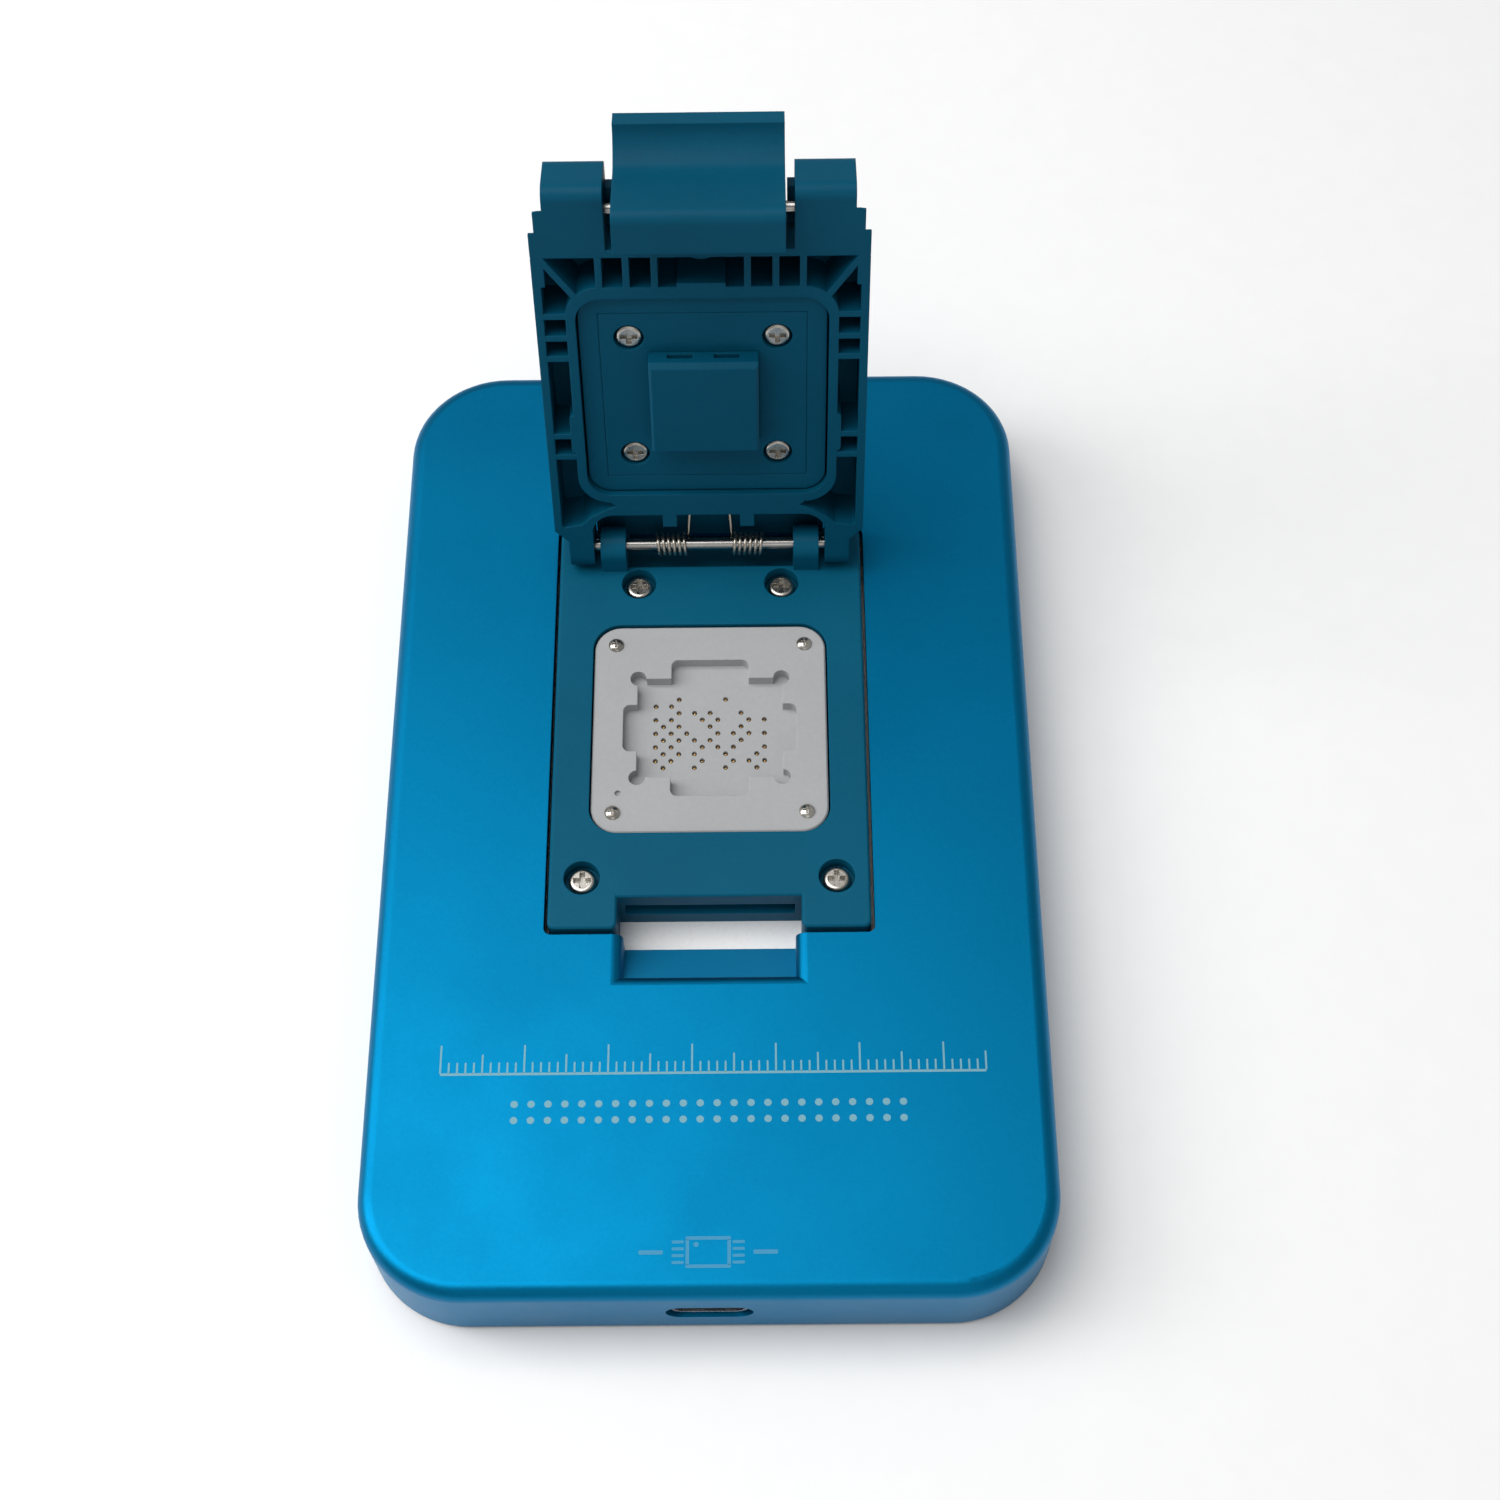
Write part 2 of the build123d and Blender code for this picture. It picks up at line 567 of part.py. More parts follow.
def torsion(radius, wire, width, turns, leg0, leg1):
    """Torsion spring along +Z from z = 0, first end on +X, with a straight tangent leg at each end."""
    h = width - wire
    with BuildPart() as s:
        with BuildLine() as path:
            Helix(pitch=h / turns, height=h, radius=radius, center=(0, 0, wire / 2))
        with BuildSketch(Plane(origin=path.line @ 0, z_dir=path.line % 0)):
            Circle(wire / 2)
        sweep(is_frenet=True)
        for end, length in ((0, leg0), (1, leg1)):
            d = (path.line % end) * (1 if end else -1)
            with BuildSketch(Plane(origin=path.line @ end, z_dir=d)):
                Circle(wire / 2)
            extrude(amount=length)
    return s.part


# one leg stands in the recess of the base, the other lies under the lid's top plate
one = torsion(1.4, 0.44, 4.5, 5 + 329.0 / 360.0, 5.3, 6.3)
with BuildPart() as hinge_spring_left:
    with Locations(Plane(origin=(-7.2, HY, HZ), x_dir=(0, 1, 0), z_dir=(1, 0, 0)).location):
        add(one)
save(hinge_spring_left.part, "hinge_spring_left")

with BuildPart() as hinge_spring_right:
    add(hinge_spring_left.part)
    mirror(about=Plane.YZ, mode=Mode.REPLACE)
save(hinge_spring_right.part, "hinge_spring_right")

# ---------------------------------------------------------------- lid
with BuildPart() as lid_frame:
    # outer block
    with BuildSketch(lid(L_Z0)):
        with BuildLine():
            Polyline((-20, -4.7), (-20, -48.1), (20, -48.1), (20, -4.7), (18.3, -2.9), (-18.3, -2.9), close=True)
        make_face()
    extrude(amount=L_Z1 - L_Z0)
    fillet(lid_frame.edges().filter_by(LID_UP).filter_by_position(LID_Y, -48.3, -47.9), 1.2)
    # arms
    with BuildSketch(Plane.YZ.offset(-18.3)):
        with Locations((HY, HZ)):
            Circle(2.6)
    extrude(amount=3.2)
    with BuildSketch(Plane.YZ.offset(15.1)):
        with Locations((HY, HZ)):
            Circle(2.6)
    extrude(amount=3.2)
    with BuildSketch(lid(L_Z0)):
        with Locations((16.7, -2.6), (-16.7, -2.6)):
            Rectangle(3.2, 5.2)
    extrude(amount=5.2)
    # hollow underside between the outer wall and the ring round the pressure plate
    with BuildSketch(lid(L_Z0 - 1)):
        with Locations((0, -30.4)):
            Rectangle(38.0, 33.4)
        for s in (1, -1):
            with BuildLine():
                Polyline((s * 19.0, -13.7), (s * 13.0, -13.7), (s * 12.3, -9.2), (s * 11.7, -8.9), (s * 13.5, -8.0),
                         (s * 15.2, -6.9), (s * 16.4, -5.7), (s * 18.7, -5.3), (s * 19.0, -5.6), close=True)
            make_face()
        with Locations((0, -26.15)):
            RectangleRounded(32.8, 33.4, 4.2, mode=Mode.SUBTRACT)
    extrude(amount=L_Z1 - L_Z0 - L_TOP + 1, mode=Mode.SUBTRACT)
    # arch over the hinge springs, under the top plate
    with BuildSketch(lid(L_Z0 - 1)):
        with BuildLine():
            Line((-15.1, 3.2), (-15.1, -4.4))
            ThreePointArc((-15.1, -4.4), (-14.25, -6.45), (-12.2, -7.3))
            Line((-12.2, -7.3), (12.2, -7.3))
            ThreePointArc((12.2, -7.3), (14.25, -6.45), (15.1, -4.4))
            Line((15.1, -4.4), (15.1, 3.2))
            Line((15.1, 3.2), (-15.1, 3.2))
        make_face()
    extrude(amount=L_Z1 - L_Z0 - L_TOP + 1, mode=Mode.SUBTRACT)
    with BuildSketch(lid(L_Z1 - L_TOP)):
        with Locations((0, -1.2)):
            Rectangle(30.0, 4.8)
    extrude(amount=L_TOP)
    # ribs
    with BuildSketch(lid(L_Z0)):
        for s in (1, -1):
            for x in (5.5, 8.85, 12.1):
                with Locations((s * x, -44.95)):
                    Rectangle(0.8, 4.7)
            for a in (38.7, 35.5, 32.45, 20.4, 17.1):
                with Locations((s * 17.6, -a)):
                    Rectangle(3.4, 0.8)
            with Locations(Location((s * 17.1, -44.35, 0), s * -55.1)):
                Rectangle(8.0, 0.8)
            with Locations((s * 16.25, -20.7)):
                RectangleRounded(1.3, 6.0, 0.6)
        with Locations((18.85, -45.2), (-18.85, -45.2)):
            Rectangle(0.7, 4.4)
        with Locations((0, -42.75)):
            Rectangle(5.8, 1.3)
        with Locations((5.0, -6.4), (-5.0, -6.4)):
            Rectangle(1.8, 2.2)
    extrude(amount=L_Z1 - L_TOP - L_Z0 + 0.2)
    with BuildSketch(lid(-1.0)):
        with Locations((0, -48.3)):
            Circle(2.6)
        with Locations((0, -50.0)):
            Rectangle(8.0, 5.0, mode=Mode.SUBTRACT)
    extrude(amount=L_Z1 - L_TOP + 1.0 + 0.2)
    # pocket for the pressure plate
    with BuildSketch(lid(L_Z0 - 1)):
        with Locations((0, -PAD_A)):
            RectangleRounded(30.5, 30.5, 3.2)
    extrude(amount=1.9 - L_Z0 + 1, mode=Mode.SUBTRACT)
    with BuildSketch(lid(1.8)):
        with Locations(*PAD_SCREW):
            Circle(1.7)
    extrude(amount=1.5, mode=Mode.SUBTRACT)
    with BuildSketch(lid(1.8)):
        with Locations(*PAD_SCREW):
            Circle(0.82)
    extrude(amount=2.3, mode=Mode.SUBTRACT)
    # ears that carry the latch
    with BuildSketch(lid(L_Z0)):
        for s in (1, -1):
            with BuildLine():
                Polyline((s * 11.1, -47.6), (s * 11.1, -56.3), (s * 18.2, -56.3), (s * 18.2, -53.9), (s * 19.4, -53.3), (s * 20, -50.4), (s * 20, -47.3), (s * 12.0, -47.3), close=True)
            make_face()
    extrude(amount=L_Z1 - L_Z0)
    fillet(lid_frame.edges().filter_by(Axis.X).filter_by_position(LID_Y, -56.4, -56.2), 1.6)
    # sloping shoulders beside the ears
    for x, a in ((18.2, 0.4), (-22.2, 0.4), (19.3, -2.6), (-23.3, -2.6)):
        with BuildSketch(Plane(origin=LID.from_local_coords(Vector(x, 0, 0)), x_dir=LID.y_dir, z_dir=(1, 0, 0))):
            with BuildLine():
                Polyline((-53.3 - a, L_Z0), (-46.6 - a, L_Z1), (-46.6 - a, L_Z1 + 1), (-58.0, L_Z1 + 1), (-58.0, L_Z0 - 1), (-53.3 - a, L_Z0 - 1), close=True)
            make_face()
        extrude(amount=4.0, mode=Mode.SUBTRACT)
    # ledges on the ears' inner faces
    with BuildSketch(lid(2.9)):
        with Locations((10.75, -50.4), (-10.75, -50.4)):
            Rectangle(1.0, 5.4)
    extrude(amount=L_Z1 - 2.9)
    # latch pin bore
    with BuildSketch(Plane(origin=(-16.6, *tuple(LID.from_local_coords(Vector(0, -LATCH_A, LATCH_Z)))[1:]), x_dir=(0, 1, 0), z_dir=(1, 0, 0))):
        Circle(PIN_R + 0.02)
    extrude(amount=33.2, mode=Mode.SUBTRACT)
    # hinge bore
    with BuildSketch(Plane.YZ.offset(-18.1)):
        with Locations((HY, HZ)):
            Circle(PIN_R + 0.03)
    extrude(amount=36.2, mode=Mode.SUBTRACT)
save(lid_frame.part, "lid_frame")

with BuildPart() as pressure_plate:
    with BuildSketch(lid(PAD_Z0)):
        with Locations((0, -PAD_A)):
            RectangleRounded(PAD, PAD, 2.95)
    extrude(amount=PAD_Z1 - PAD_Z0)
    with BuildSketch(lid(PAD_Z0)):
        with Locations((0, -PAD_A)):
            Rectangle(25.3, 25.3)
            Rectangle(25.1, 25.1, mode=Mode.SUBTRACT)
    extrude(amount=0.1, mode=Mode.SUBTRACT)
    with BuildSketch(lid(PAD_Z0)):
        with Locations(*PAD_SCREW):
            Circle(1.85)
        with Locations((0, -PAD_A)):
            Rectangle(13.44, 13.64)
    extrude(amount=1.3, mode=Mode.SUBTRACT)
    with BuildSketch(lid(PAD_Z0)):
        with Locations(*PAD_SCREW):
            Circle(0.87)
    extrude(amount=4.0, mode=Mode.SUBTRACT)
save(pressure_plate.part, "pressure_plate")

with BuildPart() as press_block:
    with BuildSketch(lid(-4.5)):
        with Locations((0, -PAD_A)):
            Rectangle(13.4, 13.6)
    extrude(amount=4.0)
    chamfer(press_block.faces().sort_by(LID_UP)[0].edges(), 0.3)
    with BuildSketch(Plane(origin=LID.from_local_coords(Vector(-7.0, 0, 0)), x_dir=LID.y_dir, z_dir=(1, 0, 0))):
        with BuildLine():
            Polyline((-32.9, -3.75), (-32.75, -3.9), (-32.15, -4.5), (-32.0, -4.65), (-32.9, -4.65), close=True)
        make_face()
    extrude(amount=14.0, mode=Mode.SUBTRACT)
    with BuildSketch(lid(-3.0)):
        with Locations((2.85, -32.75), (-2.85, -32.75)):
            Rectangle(3.1, 2.0)
    extrude(amount=0.8, mode=Mode.SUBTRACT)
save(press_block.part, "press_block")

one = screw(1.65, 1.15, 0.8, 4.4, flute=2.1, depth=0.7)
with BuildPart() as pressure_plate_screws:
    with Locations(*[LID.location * Pos(x, y, -0.5) * Rot(180, 0, 0) for x, y in PAD_SCREW]):
        add(one)
save(pressure_plate_screws.part, "pressure_plate_screws")

one = coil(1.25, 0.36, 3.28 - PAD_Z1 - 0.02, 3.5)
with BuildPart() as pressure_springs:
    with Locations(*[LID.location * Pos(x, y, PAD_Z1 + 0.01) for x, y in PAD_SCREW]):
        add(one)
save(pressure_springs.part, "pressure_springs")

# ---------------------------------------------------------------- latch
with BuildPart() as latch:
    with BuildSketch(Plane(origin=LID.from_local_coords(Vector(-10.0, 0, 0)), x_dir=LID.y_dir, z_dir=(1, 0, 0))):
        with BuildLine():
            Line((-50.6, -7.0), (-50.6, -5.75))
            Line((-50.6, -5.75), (-52.6, -5.4))
            Line((-52.6, -5.4), (-52.6, -1.2))
            Spline((-52.6, -1.2), (-50.9, -0.55), (-49.2, 0.2), (-48.72, 1.65), tangents=((0, 1), (0, 1)))
            Spline((-48.72, 1.65), (-49.0, 2.9), (-49.6, 4.2), tangents=((0, 1), (-0.45, 1)))
            Line((-49.6, 4.2), (-60.0, 7.6))
            Line((-60.0, 7.6), (-60.2, 7.4))
            Line((-60.2, 7.4), (-60.2, 5.1))
            Spline((-60.2, 5.1), (-58.3, 4.55), (-56.7, 3.1), (-56.0, 0.4), tangents=((1, -0.05), (0, -1)))
            Line((-56.0, 0.4), (-56.0, -5.5))
            ThreePointArc((-56.0, -5.5), (-55.56, -6.56), (-54.5, -7.0))
            Line((-54.5, -7.0), (-50.6, -7.0))
        make_face()
    extrude(amount=20.0)
    # relief in the middle for the spring
    with BuildSketch(lid(-1.3)):
        with Locations((0, -49.7)):
            Rectangle(6.0, 5.4)
    extrude(amount=5.6, mode=Mode.SUBTRACT)
    with BuildSketch(Plane(origin=LID.from_local_coords(Vector(-11.0, -LATCH_A, LATCH_Z)), x_dir=LID.y_dir, z_dir=(1, 0, 0))):
        Circle(PIN_R + 0.03)
    extrude(amount=22.0, mode=Mode.SUBTRACT)
save(latch.part, "latch")

with BuildPart() as latch_pin:
    with BuildSketch(Plane(origin=LID.from_local_coords(Vector(-16.5, -LATCH_A, LATCH_Z)), x_dir=LID.y_dir, z_dir=(1, 0, 0))):
        Circle(PIN_R)
    extrude(amount=33.0)
    chamfer(latch_pin.edges(), 0.15)
save(latch_pin.part, "latch_pin")

one = torsion(1.1, 0.36, 4.8, 6.25, 2.6, 2.75)
with BuildPart() as latch_spring:
    with Locations(Plane(origin=LID.from_local_coords(Vector(-2.4, -LATCH_A, LATCH_Z)), x_dir=LID.y_dir, z_dir=(1, 0, 0)).location * Rot(0, 0, 90)):
        add(one)
save(latch_spring.part, "latch_spring")
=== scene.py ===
import bpy, bmesh
from math import sin, cos, pi, radians, sqrt
from mathutils import Vector, Matrix


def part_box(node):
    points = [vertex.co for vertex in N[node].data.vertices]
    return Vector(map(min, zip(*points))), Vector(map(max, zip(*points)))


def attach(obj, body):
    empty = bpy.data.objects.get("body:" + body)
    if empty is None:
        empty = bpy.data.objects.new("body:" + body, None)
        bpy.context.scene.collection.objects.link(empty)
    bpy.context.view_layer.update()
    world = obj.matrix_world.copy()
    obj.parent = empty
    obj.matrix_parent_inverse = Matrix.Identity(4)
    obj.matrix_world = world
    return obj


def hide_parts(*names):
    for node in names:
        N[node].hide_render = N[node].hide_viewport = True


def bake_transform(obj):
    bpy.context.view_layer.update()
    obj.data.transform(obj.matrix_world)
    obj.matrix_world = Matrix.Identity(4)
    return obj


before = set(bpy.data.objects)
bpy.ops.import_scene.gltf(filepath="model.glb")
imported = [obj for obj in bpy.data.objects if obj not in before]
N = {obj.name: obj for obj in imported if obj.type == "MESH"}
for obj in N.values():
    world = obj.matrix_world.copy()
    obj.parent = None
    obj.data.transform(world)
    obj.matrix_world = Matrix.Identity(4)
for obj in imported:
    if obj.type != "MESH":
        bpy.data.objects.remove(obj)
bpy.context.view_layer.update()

MM = 0.001

# ------------------------------------------------------------------ materials


class Mat:
    """A node material with short helpers. Lengths are in metres, object coordinates."""

    def __init__(self, name):
        self.m = bpy.data.materials.new(name)
        self.m.use_nodes = True
        self.nt = self.m.node_tree
        self.b = self.nt.nodes["Principled BSDF"]
        self.tc = self.nt.nodes.new("ShaderNodeTexCoord")

    def node(self, kind, **kw):
        n = self.nt.nodes.new(kind)
        for k, v in kw.items():
            setattr(n, k, v)
        return n

    def link(self, a, b):
        self.nt.links.new(a, b)

    def set(self, **kw):
        for k, v in kw.items():
            self.b.inputs[k.replace("_", " ")].default_value = v

    def mapping(self, scale=(1, 1, 1), rot=(0, 0, 0)):
        mp = self.node("ShaderNodeMapping")
        mp.inputs["Scale"].default_value = scale
        mp.inputs["Rotation"].default_value = rot
        self.link(self.tc.outputs["Object"], mp.inputs["Vector"])
        return mp.outputs["Vector"]

    def noise(self, scale, detail=3, rough=0.55, vec=None, dist=0.0):
        n = self.node("ShaderNodeTexNoise")
        n.inputs["Scale"].default_value = scale
        n.inputs["Detail"].default_value = detail
        n.inputs["Roughness"].default_value = rough
        n.inputs["Distortion"].default_value = dist
        self.link(vec if vec is not None else self.tc.outputs["Object"], n.inputs["Vector"])
        return n.outputs["Fac"]

    def ramp(self, fac, stops):
        r = self.node("ShaderNodeValToRGB")
        el = r.color_ramp.elements
        while len(el) > len(stops):
            el.remove(el[-1])
        while len(el) < len(stops):
            el.new(0.5)
        for e, (p, c) in zip(el, stops):
            e.position = p
            e.color = (c[0], c[1], c[2], 1.0) if hasattr(c, "__len__") else (c, c, c, 1.0)
        self.link(fac, r.inputs["Fac"])
        return r.outputs["Color"]

    def mix(self, fac, a, b, mode="MIX"):
        x = self.node("ShaderNodeMix", data_type="RGBA", blend_type=mode)
        for sock, v in ((x.inputs[0], fac), (x.inputs[6], a), (x.inputs[7], b)):
            if hasattr(v, "is_linked"):
                self.link(v, sock)
            else:
                sock.default_value = v if not hasattr(v, "__len__") else (v[0], v[1], v[2], 1.0)
        return x.outputs[2]

    def math(self, op, a, b=0.0, clamp=False):
        x = self.node("ShaderNodeMath", operation=op, use_clamp=clamp)
        for sock, v in ((x.inputs[0], a), (x.inputs[1], b)):
            if hasattr(v, "is_linked"):
                self.link(v, sock)
            else:
                sock.default_value = v
        return x.outputs[0]

    def edge(self, radius, samples=4):
        """1 on convex edges, from the difference between the rounded and the true normal."""
        bv = self.node("ShaderNodeBevel", samples=samples)
        bv.inputs["Radius"].default_value = radius
        geo = self.node("ShaderNodeNewGeometry")
        dot = self.node("ShaderNodeVectorMath", operation="DOT_PRODUCT")
        self.link(bv.outputs["Normal"], dot.inputs[0])
        self.link(geo.outputs["Normal"], dot.inputs[1])
        return bv.outputs["Normal"], self.math("SUBTRACT", 1.0, dot.outputs["Value"], True)

    def finish(self, color=None, rough=None, bumps=(), normal=None):
        """color and rough are sockets; bumps are (height socket, distance in metres, strength)."""
        if color is not None:
            self.link(color, self.b.inputs["Base Color"])
        if rough is not None:
            self.link(rough, self.b.inputs["Roughness"])
        last = normal
        for h, dist, strength in bumps:
            bp = self.node("ShaderNodeBump")
            bp.inputs["Distance"].default_value = dist
            bp.inputs["Strength"].default_value = strength
            self.link(h, bp.inputs["Height"])
            if last is not None:
                self.link(last, bp.inputs["Normal"])
            last = bp.outputs["Normal"]
        if last is not None:
            self.link(last, self.b.inputs["Normal"])
        return self.m


def anodised(name, base, dark):
    m = Mat(name)
    m.set(Metallic=1.0)
    broad = m.noise(14, 2)
    speck = m.noise(2600, 3, 0.7)
    c = m.ramp(broad, [(0.3, dark), (0.7, base)])
    c = m.mix(m.ramp(speck, [(0.35, 0.0), (0.75, 0.22)]), c, (base[0], base[1] * 1.35, base[2] * 1.30))
    rough = m.ramp(m.noise(60, 4), [(0.3, 0.40), (0.7, 0.48)])
    # the milled finger ramp in front of the socket is left matt
    sep = m.node("ShaderNodeSeparateXYZ")
    m.link(m.tc.outputs["Object"], sep.inputs[0])
    x, y, z = sep.outputs[0], sep.outputs[1], sep.outputs[2]
    inside = m.math("MULTIPLY", m.math("LESS_THAN", m.math("ABSOLUTE", x), 0.01061), m.math("LESS_THAN", z, 0.01115))
    inside = m.math("MULTIPLY", inside, m.math("MULTIPLY", m.math("GREATER_THAN", y, -0.02552), m.math("LESS_THAN", y, -0.0201)))
    m.link(m.math("SUBTRACT", 1.0, m.math("MULTIPLY", inside, 0.9)), m.b.inputs["Metallic"])
    nrm, e = m.edge(0.00012)
    return m.finish(c, rough, [(speck, 0.00003, 0.30)], nrm)


def plastic(name, base, dark, rlo=0.36, rhi=0.5, grain=1500, edge=0.00022, edge_highlight_amount=0.35, streak=True, spec=0.08):
    m = Mat(name)
    m.set(**{"Specular IOR Level": spec})
    broad = m.noise(55, 3)
    fine = m.noise(grain, 4, 0.65)
    c = m.ramp(broad, [(0.3, dark), (0.75, base)])
    c = m.mix(m.ramp(fine, [(0.4, 0.0), (0.8, 0.12)]), c, tuple(min(1, 1.5 * x + 0.001) for x in base))
    nrm, e = m.edge(edge)
    # painted highlight: the base colour is lightened along convex edges, as if the edges caught the light
    painted_edge_highlight = m.math("MULTIPLY", m.math("MULTIPLY", e, 6.0, True), edge_highlight_amount, True)
    c = m.mix(painted_edge_highlight, c, tuple(min(1, 1.8 * x + 0.001) for x in base))
    flow = m.noise(1.0, 3, 0.5, m.mapping((90, 420, 90)))
    rough = m.ramp(m.math("ADD", m.math("MULTIPLY", fine, 0.5), m.math("MULTIPLY", flow, 0.5)), [(0.3, rlo), (0.7, rhi)])
    return m.finish(c, rough, [(fine, 0.00003, 0.22), (flow, 0.00004, 0.12 if streak else 0.0)], nrm)


def metal(name, base, dark, rlo=0.18, rhi=0.34, scale=700, stretch=(1, 1, 1), edge=0.00008, bump=0.25):
    m = Mat(name)
    m.set(Metallic=1.0)
    scr = m.noise(1.0, 4, 0.6, m.mapping(tuple(scale * s for s in stretch)))
    blotch = m.noise(scale * 0.35, 3)
    c = m.ramp(blotch, [(0.3, dark), (0.65, base)])
    nrm, e = m.edge(edge)
    rough = m.ramp(scr, [(0.3, rlo), (0.7, rhi)])
    return m.finish(c, rough, [(scr, 0.00002, bump)], nrm)


BLUE = anodised("blue_anodised", (0.002, 0.172, 0.350), (0.0015, 0.155, 0.320))
TEAL = plastic("teal_base_plastic", (0.0012, 0.096, 0.172), (0.0010, 0.083, 0.150))
# painted shade: the lid parts get a darker copy of the same teal plastic, for the shade they sit in
TEAL_LID_PAINTED_SHADE = plastic("teal_lid_painted_shade", (0.0012, 0.075, 0.136), (0.0010, 0.065, 0.119))
WHITE = plastic("white_guide_plastic", (0.40, 0.405, 0.41), (0.375, 0.38, 0.385), 0.42, 0.55, 1800, 0.00018, 0.25, False)
BLACK = plastic("black_moulded", (0.018, 0.018, 0.019), (0.012, 0.012, 0.013), 0.45, 0.6, 2400, 0.0001, 0.3)
RUBBER = plastic("rubber", (0.022, 0.022, 0.022), (0.016, 0.016, 0.016), 0.7, 0.85, 1600, 0.0002, 0.4)
NICKEL = metal("nickel_plate", (0.60, 0.57, 0.52), (0.36, 0.34, 0.30))
STEEL = metal("ground_steel", (0.50, 0.49, 0.47), (0.36, 0.35, 0.33), 0.16, 0.3, 500, (0.15, 1, 1))
WIRE = metal("spring_wire", (0.56, 0.52, 0.45), (0.42, 0.39, 0.33), 0.2, 0.34, 900)
GOLD = metal("gold_flash", (0.62, 0.40, 0.17), (0.42, 0.25, 0.10), 0.22, 0.36, 1500)
TIN = metal("bright_tin", (0.66, 0.66, 0.66), (0.55, 0.55, 0.55), 0.22, 0.35, 600)
CERAMIC = plastic("tan_ceramic", (0.34, 0.22, 0.13), (0.27, 0.17, 0.10), 0.35, 0.5, 3000, 0.00008, 0.2)


def solder_mask():
    m = Mat("white_solder_mask")
    fine = m.noise(1400, 3)
    weave = m.node("ShaderNodeTexChecker")
    weave.inputs["Scale"].default_value = 2400
    m.link(m.tc.outputs["Object"], weave.inputs["Vector"])
    c = m.mix(m.ramp(fine, [(0.3, 0.0), (0.8, 0.25)]), (0.93, 0.93, 0.925), (0.89, 0.89, 0.885))
    rough = m.ramp(fine, [(0.3, 0.24), (0.7, 0.34)])
    return m.finish(c, rough, [(fine, 0.00002, 0.2), (weave.outputs["Fac"], 0.00001, 0.06)])


def led_resin():
    m = Mat("led_resin")
    m.set(Roughness=0.2, Transmission_Weight=0.0)
    c = m.ramp(m.noise(900, 2), [(0.3, (0.66, 0.68, 0.50)), (0.7, (0.78, 0.80, 0.62))])
    return m.finish(c, m.ramp(m.noise(1500, 2), [(0.3, 0.15), (0.7, 0.3)]))


MASK, RESIN = solder_mask(), led_resin()

LOOK = {
    "top_shell": BLUE, "bottom_cover": BLUE, "cover_screws": NICKEL, "rubber_feet": RUBBER, "main_pcb": MASK,
    "pcb_screws": NICKEL, "usb_receptacle_shell": TIN, "usb_receptacle_tongue": BLACK, "usb_receptacle_contacts": GOLD,
    "mcu_chip": BLACK, "usb_controller_chip": BLACK, "memory_chip": BLACK, "level_shifter_chips": BLACK, "crystal": TIN,
    "voltage_regulators": BLACK, "power_inductor": BLACK, "chip_capacitors": CERAMIC, "chip_resistors": BLACK,
    "status_leds": RESIN, "socket_base": TEAL, "socket_screws": NICKEL, "socket_nuts": NICKEL, "pin_block": BLACK,
    "contact_barrels": GOLD, "contact_plungers": GOLD, "guide_plate": WHITE, "guide_plate_screws": NICKEL,
    "guide_plate_springs": WIRE, "hinge_pin": STEEL, "hinge_spring_left": WIRE, "hinge_spring_right": WIRE,
    "lid_frame": TEAL_LID_PAINTED_SHADE, "pressure_plate": TEAL_LID_PAINTED_SHADE, "press_block": TEAL_LID_PAINTED_SHADE, "pressure_plate_screws": NICKEL,
    "pressure_springs": WIRE, "latch": TEAL_LID_PAINTED_SHADE, "latch_pin": STEEL, "latch_spring": WIRE,
}
for name, o in N.items():
    o.data.materials.clear()
    o.data.materials.append(LOOK[name])

# ------------------------------------------------------------------ mesh helpers


def mesh_object(name, bm, mat, smooth=True):
    bmesh.ops.recalc_face_normals(bm, faces=bm.faces)
    me = bpy.data.meshes.new(name)
    bm.to_mesh(me)
    bm.free()
    if smooth:
        for p in me.polygons:
            p.use_smooth = True
    o = bpy.data.objects.new(name, me)
    bpy.context.scene.collection.objects.link(o)
    me.materials.append(mat)
    return o


def tube(bm, pts, radius, sides=12):
    """A round wire along pts, with rounded-off ends."""
    pts = [Vector(p) for p in pts]
    rings = []
    ref = None
    for i, p in enumerate(pts):
        t = (pts[min(i + 1, len(pts) - 1)] - pts[max(i - 1, 0)]).normalized()
        if ref is None:
            ref = t.orthogonal().normalized()
        ref = (ref - t * ref.dot(t)).normalized()
        side = t.cross(ref)
        rings.append((p, t, ref.copy(), side))
    loops = []

    def ring(p, a, b, r):
        return [bm.verts.new(p + (a * cos(2 * pi * k / sides) + b * sin(2 * pi * k / sides)) * r) for k in range(sides)]

    p, t, a, b = rings[0]
    loops.append(ring(p, a, b, radius * 0.6))
    loops.append(ring(p + t * radius * 0.35, a, b, radius))
    for p, t, a, b in rings[1:-1]:
        loops.append(ring(p, a, b, radius))
    p, t, a, b = rings[-1]
    loops.append(ring(p - t * radius * 0.35, a, b, radius))
    loops.append(ring(p, a, b, radius * 0.6))
    for r0, r1 in zip(loops, loops[1:]):
        for k in range(sides):
            bm.faces.new((r0[k], r0[(k + 1) % sides], r1[(k + 1) % sides], r1[k]))
    bm.faces.new(loops[0])
    bm.faces.new(list(reversed(loops[-1])))


def spring_points(origin, ex, ey, ez, radius, wire, width, turns, leg0, leg1, step=18):
    """Points of a torsion spring: coil along ez from origin, first end on ex, straight tangent legs."""
    h = width - wire
    n = int(turns * step)
    pts = []
    for i in range(n + 1):
        a = 2 * pi * turns * i / n
        pts.append(origin + ex * (radius * cos(a)) + ey * (radius * sin(a)) + ez * (wire / 2 + h * i / n))
    t0 = (pts[0] - pts[1]).normalized()
    t1 = (pts[-1] - pts[-2]).normalized()
    k = 8
    return [pts[0] + t0 * (leg0 * (k - i) / k) for i in range(k)] + pts + [pts[-1] + t1 * (leg1 * (i + 1) / k) for i in range(k)]
